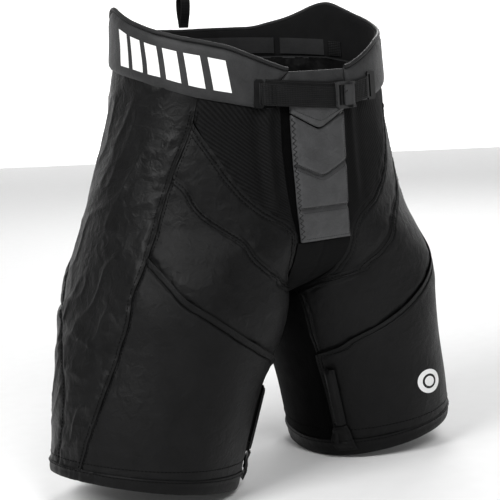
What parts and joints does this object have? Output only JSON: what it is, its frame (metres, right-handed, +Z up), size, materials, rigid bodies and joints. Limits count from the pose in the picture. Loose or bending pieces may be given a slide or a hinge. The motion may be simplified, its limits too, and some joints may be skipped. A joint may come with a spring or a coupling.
{
  "type": "hockey pants",
  "caption": "Over-shell shorts for ice play: padded belt with strap and buckle, padded hinged fly, seamed wide legs with zipped insides, hem tabs and a hang loop",
  "frame": {"origin": "under the middle of the whole, at the level of the lowest point of the hems", "axes": "+Z up from hem to waist, +X to the wearer's left, +Y to the wearer's back"},
  "size_m": [0.5696, 0.2856, 0.5759],
  "materials": {
    "shell_nylon": "woven nylon, slight sheen",
    "stretch_knit": "diagonal stretch knit, matt",
    "belt_nylon": "padded nylon, fine weave",
    "lining_cloth": "brushed lining",
    "webbing": "ribbed woven webbing",
    "moulded_plastic": "satin moulded plastic",
    "fly_cloth": "padded heavy nylon",
    "zipper_plastic": "moulded teeth"
  },
  "bodies": {
    "shell": {"belt_back": "belt_nylon", "belt_binding": "belt_nylon", "belt_left": "belt_nylon", "belt_lining_back": "lining_cloth", "belt_lining_left": "lining_cloth", "belt_lining_right": "lining_cloth", "belt_right": "belt_nylon", "buckle_frame": "moulded_plastic", "buckle_pin": "moulded_plastic", "crotch_gusset": "stretch_knit", "fly_loop_strip": "lining_cloth", "fly_top_panel": "fly_cloth", "fly_underlap": "lining_cloth", "front_band": "belt_nylon", "hem_band_left": "shell_nylon", "hem_band_right": "shell_nylon", "inner_keeper_left": "webbing", "inner_keeper_right": "webbing", "inner_thigh_panel_left": "stretch_knit", "inner_thigh_panel_right": "stretch_knit", "lining_patch_back": "belt_nylon", "lining_patch_left": "belt_nylon", "lining_patch_right": "belt_nylon", "lower_front_panel_left": "shell_nylon", "lower_front_panel_right": "shell_nylon", "middle_front_panel_left": "shell_nylon", "middle_front_panel_right": "shell_nylon", "rear_leg_panel_left": "shell_nylon", "rear_leg_panel_right": "shell_nylon", "seat_panel_left": "shell_nylon", "seat_panel_right": "shell_nylon", "side_panel_left": "shell_nylon", "side_panel_right": "shell_nylon", "side_piping_left": "belt_nylon", "side_piping_right": "belt_nylon", "slot_frame_left": "moulded_plastic", "slot_frame_right": "moulded_plastic", "strap_long": "webbing", "strap_return": "webbing", "strap_short": "webbing", "stretch_panel_left": "stretch_knit", "stretch_panel_right": "stretch_knit", "upper_front_panel_left": "shell_nylon", "upper_front_panel_right": "shell_nylon", "zipper_tape_left": "webbing", "zipper_tape_right": "webbing", "zipper_teeth_left": "zipper_plastic", "zipper_teeth_right": "zipper_plastic"},
    "fly": {"fly_flap": "fly_cloth", "fly_hook_strip": "zipper_plastic"},
    "lever": {"buckle_lever": "moulded_plastic"},
    "loop": {"hang_loop": "webbing"},
    "slider_right": {"zipper_slider_right": "moulded_plastic", "zipper_pull_right": "moulded_plastic"},
    "slider_left": {"zipper_slider_left": "moulded_plastic", "zipper_pull_left": "moulded_plastic"},
    "placket_right": {"placket_flap_right": "shell_nylon"},
    "placket_left": {"placket_flap_left": "shell_nylon"},
    "tab_right": {"hem_tab_right": "belt_nylon"},
    "tab_left": {"hem_tab_left": "belt_nylon"}
  },
  "joints": [
    {"name": "fly_opens", "type": "hinge", "parent": "shell", "child": "fly", "pos_m": [0.03694, -0.13181, 0.36234], "axis": [-0.0106, 0.0143, 0.9998], "range_deg": [0, 110]},
    {"name": "lever_lifts", "type": "hinge", "parent": "shell", "child": "lever", "pos_m": [0.04261, -0.13918, 0.45288], "axis": [-0.0103, 0.0118, 0.9999], "range_deg": [0, 80]},
    {"name": "hang_loop_flops", "type": "hinge", "parent": "shell", "child": "loop", "pos_m": [0, 0.12034, 0.53894], "axis": [1, 0, 0], "range_deg": [-60, 60]},
    {"name": "zipper_runs_right", "type": "slide", "parent": "shell", "child": "slider_right", "axis": [0.2924, -0.0816, 0.9528], "range_m": [0, 0.06]},
    {"name": "placket_opens_right", "type": "hinge", "parent": "shell", "child": "placket_right", "pos_m": [-0.06378, -0.07416, 0.08089], "axis": [-0.2924, 0.0816, -0.9528], "range_deg": [0, 80]},
    {"name": "hem_tab_opens_right", "type": "hinge", "parent": "shell", "child": "tab_right", "pos_m": [-0.08189, -0.07379, 0.02749], "axis": [-0.3924, -0.115, -0.9126], "range_deg": [0, 110]},
    {"name": "zipper_runs_left", "type": "slide", "parent": "shell", "child": "slider_left", "axis": [-0.2924, -0.0816, 0.9528], "range_m": [0, 0.06]},
    {"name": "placket_opens_left", "type": "hinge", "parent": "shell", "child": "placket_left", "pos_m": [0.06378, -0.07416, 0.08089], "axis": [-0.2924, -0.0816, 0.9528], "range_deg": [0, 80]},
    {"name": "hem_tab_opens_left", "type": "hinge", "parent": "shell", "child": "tab_left", "pos_m": [0.08189, -0.07379, 0.02749], "axis": [-0.3924, 0.115, 0.9126], "range_deg": [0, 110]}
  ]
}
